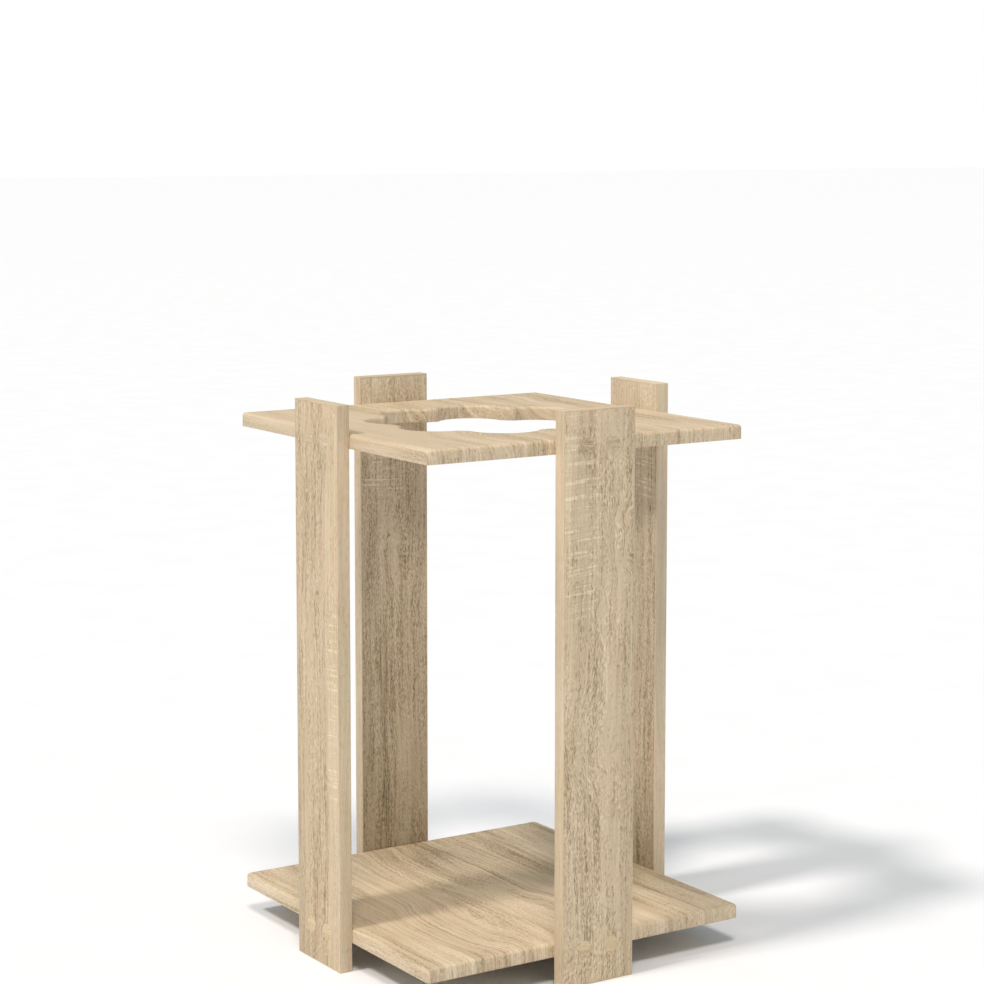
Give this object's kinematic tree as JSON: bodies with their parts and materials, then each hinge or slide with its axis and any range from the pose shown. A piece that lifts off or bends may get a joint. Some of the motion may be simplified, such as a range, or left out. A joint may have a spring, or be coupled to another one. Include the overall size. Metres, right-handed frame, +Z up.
{
  "type": "fishing rod rack",
  "caption": "Free-standing rod rack: a plain lower panel and a scalloped upper panel, square, held between flat uprights that form the feet.",
  "frame": {"origin": "on the floor, under the middle of the rack", "axes": "+Z up; -Y is the front upright, -X the left one; the notches lie half a step off X and Y"},
  "size_m": [0.334, 0.334, 0.472],
  "materials": {
    "panel_decor": "beige oak foil on fibreboard, satin, grain running front to back",
    "upright_decor": "beige rough-sawn oak decor, matt, grain upright",
    "edge_band": "plain beige edge band, matt",
    "plug_wood": "bare pale wood, grain level, sanded flush",
    "screw_steel": "zinc plated, hidden"
  },
  "bodies": {
    "root": {"bottom_panel": "panel_decor", "top_panel": "panel_decor", "front_upright": "upright_decor", "right_upright": "upright_decor", "back_upright": "upright_decor", "left_upright": "upright_decor", "front_band_left": "edge_band", "front_band_right": "edge_band", "front_band_top": "edge_band", "front_band_foot": "edge_band", "right_band_left": "edge_band", "right_band_right": "edge_band", "right_band_top": "edge_band", "right_band_foot": "edge_band", "back_band_left": "edge_band", "back_band_right": "edge_band", "back_band_top": "edge_band", "back_band_foot": "edge_band", "left_band_left": "edge_band", "left_band_right": "edge_band", "left_band_top": "edge_band", "left_band_foot": "edge_band", "front_screws_bottom": "screw_steel", "front_screws_top": "screw_steel", "right_screws_bottom": "screw_steel", "right_screws_top": "screw_steel", "back_screws_bottom": "screw_steel", "back_screws_top": "screw_steel", "left_screws_bottom": "screw_steel", "left_screws_top": "screw_steel", "front_plugs_bottom": "plug_wood", "front_plugs_top": "plug_wood", "right_plugs_bottom": "plug_wood", "right_plugs_top": "plug_wood", "back_plugs_bottom": "plug_wood", "back_plugs_top": "plug_wood", "left_plugs_bottom": "plug_wood", "left_plugs_top": "plug_wood"}
  },
  "joints": []
}
